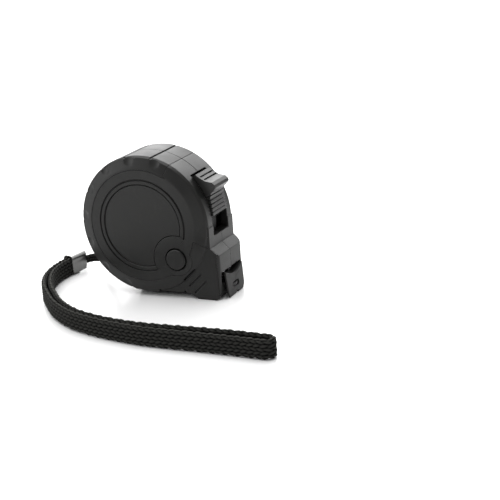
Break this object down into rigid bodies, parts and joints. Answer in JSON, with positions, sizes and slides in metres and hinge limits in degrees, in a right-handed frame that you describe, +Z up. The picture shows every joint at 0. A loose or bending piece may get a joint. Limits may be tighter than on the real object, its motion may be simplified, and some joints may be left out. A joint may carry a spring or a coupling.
{
  "type": "pocket tape measure",
  "caption": "Pocket tape measure with a round rubber-gripped case, retracting steel blade, end hook, sliding thumb lock, belt clip and a webbing wrist strap.",
  "frame": {"origin": "on the floor under the case, on its middle plane, straight below the reel's axle", "axes": "+X towards the nose where the blade leaves, +Y across the case towards the belt clip side, +Z up"},
  "size_m": [0.121, 0.0793, 0.0556],
  "materials": {
    "case_plastic": "fine matt moulded texture, black",
    "grip_rubber": "soft matt rubber overmould, black",
    "disc_plastic": "smooth satin black",
    "screw_steel": "zinc plated",
    "spring_steel": "blued spring steel",
    "reel_plastic": "natural white plastic",
    "blade_steel": "yellow enamelled steel with printed millimetre scale",
    "dark_steel": "blackened sheet steel",
    "lock_plastic": "satin black",
    "clip_steel": "bright plated spring steel",
    "webbing": "woven black polyester",
    "ferrule_metal": "folded light metal"
  },
  "bodies": {
    "case": {"case_near": "case_plastic", "case_far": "case_plastic", "grip_near": "grip_rubber", "grip_far": "grip_rubber", "disc_near": "disc_plastic", "disc_far": "disc_plastic", "cap_near": "disc_plastic", "cap_far": "disc_plastic", "case_screws": "screw_steel", "spindle": "screw_steel", "power_spring": "spring_steel", "mouth_bumper": "grip_rubber", "belt_clip": "clip_steel", "clip_screw": "screw_steel", "strap_pin": "screw_steel", "strap_tail": "webbing", "strap_loop": "webbing", "strap_ferrule": "ferrule_metal"},
    "reel": {"reel_drum": "reel_plastic", "reel_cover": "reel_plastic", "blade_coil": "blade_steel"},
    "blade": {"blade_strip": "blade_steel", "hook_rivets": "screw_steel"},
    "hook": {"end_hook": "dark_steel"},
    "lock": {"thumb_lock": "lock_plastic", "lock_shoe": "reel_plastic"}
  },
  "joints": [
    {"name": "reel_spin", "type": "hinge", "parent": "case", "child": "reel", "pos_m": [0, 0, 0.0285], "axis": [0, 1, 0], "range_deg": [-128.5, 0], "stiffness_Nm_per_rad": 0.002},
    {"name": "blade_pull", "type": "slide", "parent": "case", "child": "blade", "axis": [1, 0, 0], "range_m": [0, 0.04]},
    {"name": "hook_float", "type": "slide", "parent": "blade", "child": "hook", "axis": [1, 0, 0], "range_m": [0, 0.0008]},
    {"name": "lock_slide", "type": "hinge", "parent": "case", "child": "lock", "pos_m": [0, 0, 0.0285], "axis": [0, 1, 0], "range_deg": [0, 13.5]}
  ],
  "couplings": [
    {"joint": "blade_pull", "follows": "reel_spin", "m_per_rad": -0.0178}
  ]
}
